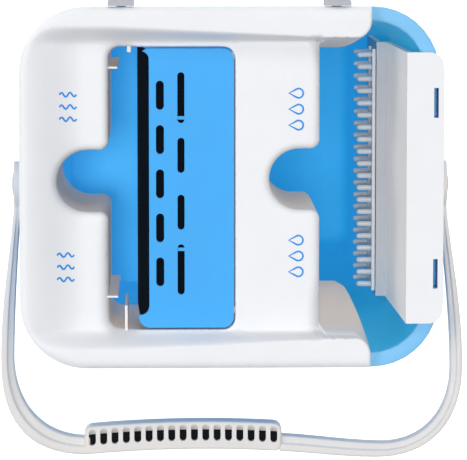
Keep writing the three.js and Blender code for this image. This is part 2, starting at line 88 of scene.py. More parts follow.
def add_node(tree, kind, settings, links=()):
    """One node with its settings, and its inputs linked from (node, output) pairs."""
    made = tree.nodes.new(kind)
    for name, value in settings.items():
        if name in made.inputs:
            made.inputs[name].default_value = value
        else:
            setattr(made, name, value)
    for name, (source, output) in dict(links).items():
        tree.links.new(source.outputs[output], made.inputs[name])
    return made


world = bpy.data.worlds.new("studio")
world.use_nodes = True
world.node_tree.nodes["Background"].inputs["Color"].default_value = linear("FBFCFF")
world.node_tree.nodes["Background"].inputs["Strength"].default_value = 0.34
bpy.context.scene.world = world
bpy.context.scene.view_settings.view_transform = "Standard"

for name, place, energy, spread in (
        ("key_light", (-0.07, 0.07, 2.0), 1.45, 9),
        ("left_light", (-1.5, -0.1, 1.75), 0.9, 25),
        ("rear_light", (0.2, 1.3, 1.6), 0.7, 25)):
    lamp = bpy.data.lights.new(name, "SUN")
    lamp.energy = energy
    lamp.angle = math.radians(spread)
    lamp_holder = bpy.data.objects.new(name, lamp)
    lamp_holder.matrix_world = facing(Vector(place), Vector((0, 0, 0.36)), Vector((0.3, 1, 0)))
    bpy.context.scene.collection.objects.link(lamp_holder)

# opal acrylic table top: even, white and lit from below
opal = bpy.data.materials.new("opal_acrylic_table")
opal.use_nodes = True
opal_shader = opal.node_tree.nodes["Principled BSDF"]
opal_shader.inputs["Roughness"].default_value = 0.7
opal_shader.inputs["Emission Strength"].default_value = 0.4
opal_place = add_node(opal.node_tree, "ShaderNodeTexCoord", {})
opal_cloud = add_node(opal.node_tree, "ShaderNodeTexNoise", {"Scale": 3.0, "Detail": 2.0},
                      {"Vector": (opal_place, "Object")})
opal_tint = add_node(opal.node_tree, "ShaderNodeMix", {"data_type": "RGBA"},
                     {"Factor": (opal_cloud, "Fac")})
opal_tint.inputs[6].default_value = linear("F5F6F7")
opal_tint.inputs[7].default_value = linear("F9F9F9")
opal.node_tree.links.new(opal_tint.outputs[2], opal_shader.inputs["Base Color"])
opal.node_tree.links.new(opal_tint.outputs[2], opal_shader.inputs["Emission Color"])

table = bmesh.new()
bmesh.ops.create_grid(table, x_segments=8, y_segments=8, size=6.0)
table_mesh = bpy.data.meshes.new("table")
table.to_mesh(table_mesh)
table.free()
table_mesh.materials.append(opal)
table_top = bpy.data.objects.new("table", table_mesh)
bpy.context.scene.collection.objects.link(table_top)


# ---------------------------------------------------------------------------
# Tub: a deep blue injection-moulded polypropylene tub. Its walls taper for the
# mould, and its rim is turned out and down into a stiff flange, on whose two
# bosses the bail turns.
# ---------------------------------------------------------------------------
RIM_X, RIM_Y, RIM_CORNER, RIM_TOP = 112.8, 97.4, 36.0, 360.0
LIP_LOW = 344.0
TAPER = math.tan(math.radians(3.2))
RIM_SLOT_X, RIM_SLOT_Y = (109.4, 111.8), (38.0, 54.0)
RIM_SLOT_DEPTH = 8.0
BAIL_MID, PIVOT_Z = 1.0, 334.0
BOSS_R, BOSS_ROOT, BOSS_TIP = 6.0, RIM_X - 9, 114.0
RIB_SIZE, RIB_X, RIB_Y = (8.0, 3.0, 18.8), 109.0, 3.8
KNUCKLE_R, KNUCKLE_LONG = 1.8, 5.0
KNUCKLE_X, KNUCKLE_Y, KNUCKLE_Z = 58.0, 99.6, 349.0
WEB_SIZE, WEB_Y = (5.0, 4.2, 3.6), 97.5
HIGHLIGHT_LOW, INSIDE_LOW, INSIDE_TOP, WALL_INSET = 357.0, 2.5, 359.0, 6.8


def moulded_plastic(name, colour, shade, roughness, grain_mm, shine=0.4, glow=0.0, deep=None):
    """Injection-moulded plastic: faint flow clouds in its colour, and the mould's fine grain.
    glow is a glow of painted light. deep is a painted shade colour that it turns to lower
    down, the two heights of the change in mm, and the painted glow there."""
    material = bpy.data.materials.new(name)
    material.use_nodes = True
    tree = material.node_tree
    shader = tree.nodes["Principled BSDF"]
    shader.inputs["Specular IOR Level"].default_value = shine
    shader.inputs["Emission Strength"].default_value = glow
    place = add_node(tree, "ShaderNodeTexCoord", {})
    clouds = add_node(tree, "ShaderNodeTexNoise", {"Scale": 1 / 0.028, "Detail": 3.0},
                      {"Vector": (place, "Object")})
    grain = add_node(tree, "ShaderNodeTexNoise", {"Scale": 1000 / grain_mm, "Detail": 2.0},
                     {"Vector": (place, "Object")})
    mixed = add_node(tree, "ShaderNodeMath", {"operation": "MULTIPLY"},
                     {0: (clouds, "Fac"), 1: (grain, "Fac")})
    share = add_node(tree, "ShaderNodeMapRange",
                     {"From Min": 0.12, "From Max": 0.4, "To Min": 0.0, "To Max": 1.0},
                     {"Value": (mixed, "Value")})
    tint = add_node(tree, "ShaderNodeMix", {"data_type": "RGBA"}, {"Factor": (share, "Result")})
    tint.inputs[6].default_value = linear(shade)
    tint.inputs[7].default_value = linear(colour)
    if deep:
        split = add_node(tree, "ShaderNodeSeparateXYZ", {}, {"Vector": (place, "Object")})
        level = add_node(tree, "ShaderNodeMapRange",
                         {"From Min": deep[1] * MM, "From Max": deep[2] * MM},
                         {"Value": (split, "Z")})
        upper = tint
        tint = add_node(tree, "ShaderNodeMix", {"data_type": "RGBA"},
                        {"Factor": (level, "Result")})
        tint.inputs[6].default_value = linear(deep[0])
        tree.links.new(upper.outputs[2], tint.inputs[7])
        # painted light: lower down the plastic glows at the strength given in deep
        painted_glow = add_node(tree, "ShaderNodeMapRange", {"To Min": deep[3], "To Max": glow},
                           {"Value": (level, "Result")})
        tree.links.new(painted_glow.outputs["Result"], shader.inputs["Emission Strength"])
    tree.links.new(tint.outputs[2], shader.inputs["Base Color"])
    tree.links.new(tint.outputs[2], shader.inputs["Emission Color"])
    polish = add_node(tree, "ShaderNodeMapRange",
                      {"To Min": roughness - 0.05, "To Max": roughness + 0.06},
                      {"Value": (clouds, "Fac")})
    tree.links.new(polish.outputs["Result"], shader.inputs["Roughness"])
    bump = add_node(tree, "ShaderNodeBump", {"Strength": 0.12, "Distance": 0.00004},
                    {"Height": (grain, "Fac")})
    tree.links.new(bump.outputs["Normal"], shader.inputs["Normal"])
    return material


def skin(shell, rings, cap=False):
    """Joins closed rings of equally many points, in millimetres, into one strip of quads."""
    rows = [[shell.verts.new(Vector(p) * MM) for p in ring] for ring in rings]
    count = len(rings[0])
    for low, high in zip(rows, rows[1:]):
        for i in range(count):
            j = (i + 1) % count
            shell.faces.new((low[i], low[j], high[j], high[i]))
    if cap:
        shell.faces.new(list(reversed(rows[0])))
        shell.faces.new(rows[-1])


def piece(name, shell, material, body, slot, *nodes, flat_angle=40):
    """Finishes a mesh as a shown piece: smooth faces, sharp creases, finish and body."""
    bmesh.ops.recalc_face_normals(shell, faces=shell.faces)
    for face in shell.faces:
        face.smooth = True
    limit = math.radians(flat_angle)
    for edge in shell.edges:
        edge.smooth = len(edge.link_faces) != 2 or edge.calc_face_angle(0) < limit
    mesh = bpy.data.meshes.new(name)
    shell.to_mesh(mesh)
    shell.free()
    mesh.materials.append(material)
    made = bpy.data.objects.new(name, mesh)
    bpy.context.scene.collection.objects.link(made)
    made.modifiers.new("flat_faces_stay_flat", "WEIGHTED_NORMAL").keep_sharp = True
    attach(made, body)
    if nodes:
        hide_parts(*nodes)
    return made


def add_block(shell, size, middle):
    """Adds a box of a size about a middle point, both in millimetres."""
    made = bmesh.ops.create_cube(shell, size=1.0)["verts"]
    bmesh.ops.scale(shell, vec=Vector(size) * MM, verts=made)
    bmesh.ops.translate(shell, vec=Vector(middle) * MM, verts=made)
    return made


def add_rod(shell, r, long, middle, segments):
    """Adds a rod along X about a middle point, in millimetres."""
    turn = Matrix.Rotation(math.pi / 2, 4, "Y")
    bmesh.ops.create_cone(shell, cap_ends=True, segments=segments, radius1=r * MM,
                          radius2=r * MM, depth=long * MM,
                          matrix=Matrix.Translation(Vector(middle) * MM) @ turn)


def rounded_ring(half_x, half_y, r, z, steps=9, extra_y=()):
    """A rounded rectangle about the middle, with extra points on its right side."""
    ring = []
    for quarter, (sx, sy) in enumerate(((1, 1), (-1, 1), (-1, -1), (1, -1))):
        for i in range(steps + 1):
            a = math.pi / 2 * (quarter + i / steps)
            ring.append((sx * (half_x - r) + r * math.cos(a),
                         sy * (half_y - r) + r * math.sin(a), z))
    return ring + [(half_x, y, z) for y in extra_y]


def tub_ring(inset, z):
    """The tub's outline at a height, moved in by an inset and by the taper of its walls."""
    move = inset + TAPER * (RIM_TOP - z)
    ys = (-RIM_SLOT_Y[1], -RIM_SLOT_Y[0], RIM_SLOT_Y[0], RIM_SLOT_Y[1])
    return rounded_ring(RIM_X - move, RIM_Y - move, max(RIM_CORNER - move, 2.0), z, extra_y=ys)


# blue polypropylene: satin outside; inside it is duller and glows, painted light that brightens the deep
# tub
blue_polypropylene = moulded_plastic(
    "blue_polypropylene", "2A9FE2", "2799DB", 0.42, 0.9, 0.3)
inside_painted_glow = moulded_plastic(
    "blue_inside_painted_glow", "2C97C2", "2892BD", 0.5, 0.9, 0.15, 0.5)
# painted highlight: the same resin painted pale where the rim faces up
rim_painted_highlight = moulded_plastic("blue_rim_painted_highlight", "80C0EA", "78B9E5", 0.5, 0.9, 0.15)

TUB_PROFILE = (
    # underside and outer wall
    (12, 0.1), (8, 0.6), (6, 2.3), (5, 6), (5, 60), (5, 120), (5, 180), (5, 240), (5, 300),
    (5, 343),
    # the flange's hollow and its turned-down lip
    (5, 354), (2.5, 354), (2.5, 345), (1.8, LIP_LOW), (0.7, LIP_LOW), (0, 345), (0, 352),
    (0, 358.6),
    # flat top and rounded inner edge
    (0.3, 359.6), (1.0, RIM_TOP), (3.4, RIM_TOP), (5.8, RIM_TOP), (7.1, 359.8), (7.7, 359.3),
    (7.95, 358.5), (8.0, 356.5),
    # inner wall and floor
    (8, 340), (8, 300), (8, 240), (8, 180), (8, 120), (8, 60), (8, 10), (8.8, 6), (10.6, 3.8),
    (14, 3),
)
tub = bmesh.new()
skin(tub, [tub_ring(inset, z) for inset, z in TUB_PROFILE], cap=True)
slot_tops = [f for f in tub.faces if abs(f.calc_center_median().z / MM - RIM_TOP) < 0.05
             and RIM_SLOT_X[0] < f.calc_center_median().x / MM < RIM_SLOT_X[1]
             and RIM_SLOT_Y[0] < abs(f.calc_center_median().y / MM) < RIM_SLOT_Y[1]]
sunk = bmesh.ops.extrude_face_region(tub, geom=slot_tops)["geom"]
bmesh.ops.translate(tub, vec=(0, 0, -RIM_SLOT_DEPTH * MM),
                    verts=[v for v in sunk if isinstance(v, bmesh.types.BMVert)])
bmesh.ops.delete(tub, geom=slot_tops, context="FACES")
for side in (-1, 1):
    tip = BOSS_TIP + side * BAIL_MID
    add_rod(tub, BOSS_R, tip - BOSS_ROOT, (side * (BOSS_ROOT + tip) / 2, 0, PIVOT_Z), 32)
    add_block(tub, RIB_SIZE, (side * RIB_X, RIB_Y, PIVOT_Z))
    add_rod(tub, KNUCKLE_R, KNUCKLE_LONG, (side * KNUCKLE_X, KNUCKLE_Y, KNUCKLE_Z), 24)
    add_block(tub, WEB_SIZE, (side * KNUCKLE_X, WEB_Y, KNUCKLE_Z))
shell = piece("tub_shell", tub, blue_polypropylene, "bucket", "tub_blue", "tub", flat_angle=50)
shell.data.materials.append(rim_painted_highlight)
shell.data.materials.append(inside_painted_glow)
# faces looking up on the rim's top take the painted highlight; inward faces take the duller blue with its
# painted glow
for face in shell.data.polygons:
    x, y, z = face.center / MM
    inward = face.normal.x * x + face.normal.y * y < 0 or face.normal.z > 0.9
    if z > HIGHLIGHT_LOW and face.normal.z > 0.15:
        face.material_index = 1
    elif (inward and INSIDE_LOW < z < INSIDE_TOP
          and max(abs(x) - RIM_X, abs(y) - RIM_Y) < -WALL_INSET):
        face.material_index = 2


# ---------------------------------------------------------------------------
# Base pads: four discs die-cut from grey rubber sheet and glued into shallow
# recesses, so that the tub doesn't slide on a wet floor.
# ---------------------------------------------------------------------------
def rounded_copy(node, width, steps=2, angle=32):
    """A copy of a CAD node's mesh with its creases rounded to a radius in millimetres."""
    shell = bmesh.new()
    shell.from_mesh(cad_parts[node].data)
    bmesh.ops.remove_doubles(shell, verts=shell.verts, dist=1e-6)
    bmesh.ops.dissolve_limit(shell, angle_limit=math.radians(1), verts=shell.verts,
                             edges=shell.edges)
    creases = [e for e in shell.edges if len(e.link_faces) == 2
               and e.calc_face_angle(0) > math.radians(angle)]
    bmesh.ops.bevel(shell, geom=creases, offset=width * MM, offset_type="OFFSET",
                    segments=steps, profile=0.5, affect="EDGES", clamp_overlap=True, material=-1)
    return shell


# die-cut rubber: dull, slightly uneven and pitted
pad_rubber = moulded_plastic("die_cut_grey_rubber", "62676D", "54585D", 0.82, 1.2, 0.3)
for where in ("front_left", "front_right", "rear_left", "rear_right"):
    node = "base_pad_" + where
    piece(node + "_disc", rounded_copy(node, 0.35), pad_rubber, "bucket", "pad_rubber", node)


# ---------------------------------------------------------------------------
# Inner basin: a light blue polypropylene insert below the squeezing slot. It
# hugs the tub's walls, and its raised floor keeps the squeezed water apart.
# ---------------------------------------------------------------------------
# light blue polypropylene: the same resin with a paler masterbatch, and a glow of painted light that
# brightens the deep basin
pale_polypropylene = moulded_plastic(
    "pale_blue_polypropylene", "44B3E6", "40AEE0", 0.45, 0.9, 0.15, 0.3)
piece("dry_basin_insert", rounded_copy("dry_basin", 0.9, 3), pale_polypropylene, "bucket",
      "plate_blue", "dry_basin")


# ---------------------------------------------------------------------------
# Cover: one off-white ABS moulding with a spark-eroded satin surface. A raised
# band runs round its edge, and the skirts of both slots roll down from its
# dished middle and guide the mop into the tub.
# ---------------------------------------------------------------------------
COVER_TOP, DISH_TOP, COVER_LOW, SKIRT_LOW = 366.0, 354.0, 360.6, 248.4
EDGE_ROUND = 5.0
LEFT_RISE, LEFT_FOOT, LEFT_RUN = 11.0, -78.0, 34.0
BAND_FOOT, BAND_RUN = 78.6, 10.5
# how far the edges of the two slots are rounded: least on the right, most at the front
DRY_ROUND, DRY_SOFT, DRY_SOFT_FRONT = 0.7, 3.2, 2.4
WASH_ROUND, WASH_SOFT_FRONT, WASH_SOFT_REAR, WASH_CRISP = 4.0, 3.0, 2.0, 1.4
DRY = {"x0": -65.0, "x1": 3.3, "y0": -77.5, "y1": 75.7, "r": 6.5}
DRY_NOTCH = {"x": -76.2, "y": 3.2, "r": 16.7}
WASH_LEFT, WASH_END, WASH_CORNER = 48.7, 80.0, 4.3
WASH_NOTCH = {"x": 38.1, "y": 4.0, "r": 16.5}
NOTCH_FILLET = 5.0
ARM_END, ARM_ROUND = 76.0, 10.0
# the washing slot's outline runs on past the cover's right edge
PAST_X, PAST_Y = 133, 118
COVER_WALL = 2.1


def arc(cx, cy, r, start, end, steps=8):
    """Points along an arc in degrees, from start to end."""
    angles = [math.radians(start + (end - start) * i / steps) for i in range(steps + 1)]
    return [(cx + r * math.cos(a), cy + r * math.sin(a)) for a in angles]


def spaced(points, step=4.0):
    """The same closed outline with points no further apart than step."""
    dense = []
    for (ax, ay), (bx, by) in zip(points, points[1:] + points[:1]):
        pieces = max(1, math.ceil(math.hypot(bx - ax, by - ay) / step))
        if math.hypot(bx - ax, by - ay) > 1e-6:
            dense += [(ax + (bx - ax) * i / pieces, ay + (by - ay) * i / pieces)
                      for i in range(pieces)]
    return dense


def rounded_box(x0, x1, y0, y1, r, steps=8):
    return (arc(x1 - r, y1 - r, r, 0, 90, steps) + arc(x0 + r, y1 - r, r, 90, 180, steps)
            + arc(x0 + r, y0 + r, r, 180, 270, steps) + arc(x1 - r, y0 + r, r, 270, 360, steps))


def notch_edge(edge_x, notch, grow):
    lift = notch["r"] + NOTCH_FILLET
    fillet_x = edge_x - NOTCH_FILLET
    return (arc(fillet_x, notch["y"] + lift, NOTCH_FILLET - grow, 0, -90, 6)
            + arc(notch["x"], notch["y"], notch["r"] + grow, 90, 270, 20)
            + arc(fillet_x, notch["y"] - lift, NOTCH_FILLET - grow, 90, 0, 6))


def dry_outline(grow):
    x0, x1, y0, y1, r = (DRY[k] for k in ("x0", "x1", "y0", "y1", "r"))
    return (arc(x1 - r, y1 - r, r + grow, 0, 90) + arc(x0 + r, y1 - r, r + grow, 90, 180)
            + notch_edge(x0, DRY_NOTCH, grow)
            + arc(x0 + r, y0 + r, r + grow, 180, 270) + arc(x1 - r, y0 + r, r + grow, 270, 360))


def wash_outline(grow):
    end, turn, corner = ARM_END - ARM_ROUND, ARM_ROUND - grow, WASH_CORNER + grow
    return ([(ARM_END - grow, PAST_Y)] + arc(end, WASH_END + ARM_ROUND, turn, 0, -90, 10)
            + arc(WASH_LEFT + WASH_CORNER, WASH_END - WASH_CORNER, corner, 90, 180)
            + notch_edge(WASH_LEFT, WASH_NOTCH, grow)
            + arc(WASH_LEFT + WASH_CORNER, WASH_CORNER - WASH_END, corner, 180, 270)
            + arc(end, -WASH_END - ARM_ROUND, turn, 90, 0, 10)
            + [(ARM_END - grow, -PAST_Y), (PAST_X, -PAST_Y), (PAST_X, PAST_Y)])


def inside(points, outline):
    """Whether each point lies inside a closed outline."""
    x, y = points[:, 0][:, None], points[:, 1][:, None]
    a = np.array(outline)
    b = np.roll(a, -1, axis=0)
    crosses = (a[:, 1] > y) != (b[:, 1] > y)
    rise = np.where(b[:, 1] == a[:, 1], 1e-9, b[:, 1] - a[:, 1])
    return (crosses & (x < (b[:, 0] - a[:, 0]) * (y - a[:, 1]) / rise + a[:, 0])).sum(1) % 2 == 1


def distance(points, outline):
    """How far each point is from an outline."""
    a = np.array(outline)
    run = np.roll(a, -1, axis=0) - a
    rel = points[:, None, :] - a
    t = np.clip((rel * run).sum(2) / np.maximum((run * run).sum(1), 1e-12), 0, 1)
    return np.sqrt(((rel - t[:, :, None] * run) ** 2).sum(2)).min(1)


def ease(value, low, high):
    t = np.clip((value - low) / (high - low), 0, 1)
    return t * t * (3 - 2 * t)


def roll_down(gap, radius):
    """How far a rounded edge has dropped at a gap from its outline."""
    inner = np.clip(radius - gap, 0, radius)
    return radius - np.sqrt(np.maximum(radius ** 2 - inner ** 2, 0))


COVER_EDGE = spaced(rounded_box(-RIM_X, RIM_X, -RIM_Y, RIM_Y, RIM_CORNER, 14))
DRY_EDGE = spaced(dry_outline(0))
WASH_EDGE = spaced(wash_outline(0))


def cover_height(points):
    """The height of the cover's top surface at points in plan, in millimetres."""
    x, y = points[:, 0], points[:, 1]
    crisp = np.clip((x + 60) / 110, 0, 1)
    run = BAND_RUN - 7.9 * crisp
    band = (COVER_TOP - DISH_TOP) * ease(np.abs(y) - BAND_FOOT + 1.6 * (1 - crisp), 0, run)
    left = LEFT_RISE * ease(LEFT_FOOT - x, 0, LEFT_RUN)
    height = DISH_TOP + band + left * (1 - band / (COVER_TOP - DISH_TOP))
    to_dry, to_wash = distance(points, DRY_EDGE), distance(points, WASH_EDGE)
    soft = 1 - ease(x, -56, -47)
    front = 1 - ease(y, -40, 0)
    dry_round = DRY_ROUND + soft * (DRY_SOFT + DRY_SOFT_FRONT * front)
    wash_round = (WASH_ROUND + WASH_SOFT_FRONT * (1 - ease(y, -70, -45))
                  + WASH_SOFT_REAR * ease(y, 60, 82))
    wash_round = WASH_CRISP + (wash_round - WASH_CRISP) * (1 - ease(x, 47.5, 51))
    height -= roll_down(to_dry, dry_round)
    height -= roll_down(to_wash, wash_round)
    height -= roll_down(distance(points, COVER_EDGE), np.clip(height - 361.0, 0.5, EDGE_ROUND))
    return np.maximum(height, COVER_LOW - 40)


def meshed_plan(outline, holes, inner_points):
    """A flat mesh inside an outline and outside its holes, with every outline kept as edges."""
    points, edges = [], []
    for loop in [outline] + holes:
        start = len(points)
        points += loop
        edges += [(start + i, start + (i + 1) % len(loop)) for i in range(len(loop))]
    points += inner_points
    verts, _, faces, *_ = delaunay_2d_cdt([Vector(p) for p in points], edges, [], 0, 1e-5)
    flat = np.array([tuple(v) for v in verts])
    middle = np.array([flat[list(f)].mean(0) for f in faces])
    keep = inside(middle, outline)
    for hole in holes:
        keep &= ~inside(middle, hole)
    return flat, [f for f, kept in zip(faces, keep) if kept]


def rings_about(make, grows, step=2.2):
    return [p for grow in grows for p in spaced(make(grow), step)]


near = (0.12, 0.4, 0.8, 1.4, 2.1, 3.0, 4.1, 5.4)
edge_loops = [p for d in near for p in spaced(
    rounded_box(d - RIM_X, RIM_X - d, d - RIM_Y, RIM_Y - d, RIM_CORNER - d, 14), 3.0)]
dry_loops = rings_about(dry_outline, near)
wash_loops = rings_about(wash_outline, near)
columns = np.arange(-106, 77, 2.6)
band_rows = [side * np.arange(74.6, 92, 0.75) for side in (-1, 1)]
rows = np.concatenate([np.arange(-72, 73, 2.8), *band_rows])
lattice = [(x, y) for x in columns for y in rows]


def clear_of(points, outline, gap):
    return distance(points, outline) > gap


grid = np.array(lattice)
grid = grid[clear_of(grid, DRY_EDGE, 6.2) & clear_of(grid, WASH_EDGE, 6.2)
            & clear_of(grid, COVER_EDGE, 6.2)]
loops = np.array(edge_loops + dry_loops + wash_loops)
owner = np.repeat([0, 1, 2], [len(edge_loops), len(dry_loops), len(wash_loops)])
gaps = np.stack([distance(loops, e) for e in (COVER_EDGE, DRY_EDGE, WASH_EDGE)], 1)
nearest = gaps.argmin(1) == owner
loops = loops[nearest & (gaps.min(1) > 0.08)]
free = np.concatenate([grid, loops])
free = free[inside(free, COVER_EDGE) & ~inside(free, DRY_EDGE) & ~inside(free, WASH_EDGE)]
flat, faces = meshed_plan(COVER_EDGE, [DRY_EDGE, WASH_EDGE], [tuple(p) for p in free])
used = sorted({i for f in faces for i in f})
heights = cover_height(flat)

cover = bmesh.new()
corner = {i: cover.verts.new((flat[i][0] * MM, flat[i][1] * MM, heights[i] * MM)) for i in used}
for f in faces:
    cover.faces.new([corner[i] for i in f])
rim_edges = [e for e in cover.edges if len(e.link_faces) == 1]


def edge_kind(edge):
    middle = np.array([[(v.co.x / MM) for v in edge.verts], [(v.co.y / MM) for v in edge.verts]]).T
    gap = [distance(middle, loop).max() for loop in (DRY_EDGE, WASH_EDGE, COVER_EDGE)]
    return int(np.argmin(gap))


kinds = {e: edge_kind(e) for e in rim_edges}
WASH_LEAN_REAR, WASH_LEAN_FRONT = 10.0, 16.0
FREE_X = (63, 68, 71.5, 73.5, 75, 76.2)
FREE_Z = (SKIRT_LOW, 262, 300, 330, 352, COVER_LOW)


def skirt_place(kind, x, y, top, share):
    """Where a skirt's point lies at a share of the way down from its top."""
    if kind == 0:
        return x, y, top + (SKIRT_LOW - top) * share
    if kind == 2:
        return x, y, top + (COVER_LOW - top) * share
    low = float(np.interp(x, FREE_X, FREE_Z))
    low = min(low, top - 0.1)
    z = top + (low - top) * share
    depth = max(0.0, (COVER_TOP - z) / (COVER_TOP - SKIRT_LOW))
    lean = (-WASH_LEAN_REAR if y > 0 else WASH_LEAN_FRONT) * min(max(abs(y) - 25, 0) / 50, 1)
    return x, y + lean * depth, z


tops = {}
for e, kind in kinds.items():
    for v in e.verts:
        tops.setdefault(v, kind)
steps_down = (0.02, 0.06, 0.14, 0.28, 0.5, 0.75, 1.0)
grown = {}
for v, kind in tops.items():
    x, y, z = (c / MM for c in v.co)
    grown[v] = [cover.verts.new(Vector(skirt_place(kind, x, y, z, s)) * MM) for s in steps_down]
for e in rim_edges:
    a, b = e.verts
    chain_a, chain_b = [a] + grown[a], [b] + grown[b]
    for k in range(len(steps_down)):
        cover.faces.new((chain_a[k], chain_b[k], chain_b[k + 1], chain_a[k + 1]))
bmesh.ops.recalc_face_normals(cover, faces=cover.faces)
if sum(f.normal.z for f in cover.faces) < 0:
    bmesh.ops.reverse_faces(cover, faces=cover.faces)
cover.normal_update()


def thicken(shell, wall):
    """Gives an open shell its wall: a second skin inside it, joined along the open edges."""
    open_edges = [tuple(e.verts) for e in shell.edges if len(e.link_faces) == 1]
    outside = shell.faces[:]
    twins = {v: shell.verts.new(v.co - v.normal * wall * MM) for v in shell.verts[:]}
    for f in outside:
        shell.faces.new([twins[v] for v in reversed(f.verts)])
    for a, b in open_edges:
        shell.faces.new((a, b, twins[b], twins[a]))


thicken(cover, COVER_WALL)

# guide fins in the squeezing slot, and the ears that hold the plate's pin
FIN_TOP, FIN_LOW = 351.0, 257.0
FINS = (
    ((-66.5, -60.0), (63.6, 64.8), (FIN_LOW, FIN_TOP)),
    ((-66.5, -60.0), (-60.4, -59.2), (FIN_LOW, FIN_TOP)),
    ((-54.9, -52.7), (72.5, 76.6), (FIN_LOW, FIN_TOP)),
    ((-56.5, -54.9), (-78.6, -64.5), (301.0, FIN_TOP)),
    ((-5.4, 4.2), (-69.2, -65.4), (340.4, 349.3)),
    ((-5.4, 4.2), (68.8, 72.6), (340.4, 349.3)),
)
for xs, ys, zs in FINS:
    fin = add_block(cover, (xs[1] - xs[0], ys[1] - ys[0], zs[1] - zs[0]),
                    (sum(xs) / 2, sum(ys) / 2, sum(zs) / 2))
    rims = {e for v in fin for e in v.link_edges}
    bmesh.ops.bevel(cover, geom=list(rims), offset=0.35 * MM, segments=2, profile=0.5,
                    affect="EDGES", material=-1)

# off-white ABS: satin, with the fine even grain of a spark-eroded mould; from 353 mm down to 338 mm it
# turns to a warm painted shade with a faint painted glow
white_abs = moulded_plastic("off_white_abs", "E4E5E8", "DFE1E4", 0.55, 0.7, 0.3,
                            deep=("D8CEC6", 338, 353, 0.14))
piece("cover_moulding", cover, white_abs, "cover", "cover_white", "cover", flat_angle=60)


# ---------------------------------------------------------------------------
# Printed marks: pad-printed blue ink on the cover. Drops mark the washing slot
# and rising air marks the squeezing slot, in place of words.
# ---------------------------------------------------------------------------
INK_WIDTH, INK_THICK = 0.95, 0.12
# pad-printing ink: thin, even and a little glossier than the cover
blue_ink = moulded_plastic("blue_printing_ink", "2A8CDA", "2686D4", 0.5, 2.0, 0.2)


def ink_stroke(marks, path, closed):
    """A printed line along a path in plan, laid on the cover's surface."""
    count = len(path)
    pts = np.array(path)
    ahead = np.roll(pts, -1, 0) - np.roll(pts, 1, 0)
    if not closed:
        ahead[0], ahead[-1] = pts[1] - pts[0], pts[-1] - pts[-2]
    across = np.stack([-ahead[:, 1], ahead[:, 0]], 1)
    across *= INK_WIDTH / 2 / np.linalg.norm(across, axis=1)[:, None]
    both = np.concatenate([pts + across, pts - across])
    level = cover_height(both) + INK_THICK
    rings = [[(both[i][0], both[i][1], level[i]),
              (both[i + count][0], both[i + count][1], level[i + count])] for i in range(count)]
    if closed:
        rings.append(rings[0])
    rows = [[marks.verts.new(Vector(p) * MM) for p in ring] for ring in rings]
    for low, high in zip(rows, rows[1:]):
        marks.faces.new((low[0], low[1], high[1], high[0]))


def drop(cx, cy, size):
    """A drop whose point looks towards -X."""
    outline = arc(cx + size * 0.15, cy, size * 0.34, -130, 130, 16)
    return [(cx - size * 0.55, cy)] + list(reversed(outline))


def rising_air(cx, cy, size):
    """One wavy line along X."""
    return [(cx + size * (t / 14 - 0.5), cy + size * 0.13 * math.sin(t / 14 * 4 * math.pi))
            for t in range(15)]


marks = bmesh.new()
for cx, cy in ((36.2, 42.0), (36.2, -37.5)):
    for shift in (-8.6, 0, 8.6):
        ink_stroke(marks, drop(cx, cy + shift, 7.4), True)
for cx, cy in ((-86.6, 43.5), (-88.2, -43.0)):
    for shift in (-6.6, 0, 6.6):
        ink_stroke(marks, rising_air(cx, cy + shift, 9.0), False)
bmesh.ops.recalc_face_normals(marks, faces=marks.faces)
for face in marks.faces:
    if face.normal.z < 0:
        face.normal_flip()
bmesh.ops.solidify(marks, geom=marks.faces[:], thickness=0.1 * MM)
piece("printed_marks", marks, blue_ink, "cover", "tub_blue")


# ---------------------------------------------------------------------------
# Squeezing plate: a pale blue polypropylene plate with ten oblong slots. It
# turns on a steel pin against two torsion springs; a tray painted black as
# shade backs it, and a black rubber scraper is pressed into its left edge.
# ---------------------------------------------------------------------------
# the plate's resin is the same, with a slightly duller surface
plate_polypropylene = moulded_plastic(
    "dull_pale_blue_polypropylene", "3EA6EC", "3AA1E7", 0.5, 0.9, 0.2)
piece("slotted_plate_moulding", rounded_copy("slotted_plate", 0.35), plate_polypropylene,
      "squeezer", "plate_blue", "slotted_plate", flat_angle=45)
# painted shade: a deep black, dull tray that shows the space under the slots dark
black_shade_backing = moulded_plastic(
    "black_shade_backing", "040D16", "030A11", 0.7, 0.9, 0.06)
piece("plate_backing_tray", rounded_copy("plate_backing", 0.4), black_shade_backing,
      "squeezer", "backing_black", "plate_backing")
# extruded EPDM rubber: black and dull
black_rubber = moulded_plastic("extruded_black_rubber", "040D16", "030910", 0.75, 1.4, 0.06)
piece("scraper_extrusion", rounded_copy("scraper_strip", 0.5), black_rubber,
      "squeezer", "scraper_rubber", "scraper_strip")


def drawn_steel(name, colour, shade):
    """Drawn steel wire: bright, with fine draw lines along Y."""
    material = bpy.data.materials.new(name)
    material.use_nodes = True
    tree = material.node_tree
    shader = tree.nodes["Principled BSDF"]
    shader.inputs["Metallic"].default_value = 1.0
    place = add_node(tree, "ShaderNodeTexCoord", {})
    turned = add_node(tree, "ShaderNodeMapping", {"Scale": (1.0, 0.08, 1.0)}, {"Vector": (place, "Object")})
    lines = add_node(tree, "ShaderNodeTexNoise", {"Scale": 1 / 0.0012, "Detail": 2.0},
                     {"Vector": (turned, "Vector")})
    tint = add_node(tree, "ShaderNodeMix", {"data_type": "RGBA"}, {"Factor": (lines, "Fac")})
    tint.inputs[6].default_value = linear(shade)
    tint.inputs[7].default_value = linear(colour)
    tree.links.new(tint.outputs[2], shader.inputs["Base Color"])
    polish = add_node(tree, "ShaderNodeMapRange", {"To Min": 0.22, "To Max": 0.36},
                      {"Value": (lines, "Fac")})
    tree.links.new(polish.outputs["Result"], shader.inputs["Roughness"])
    return material


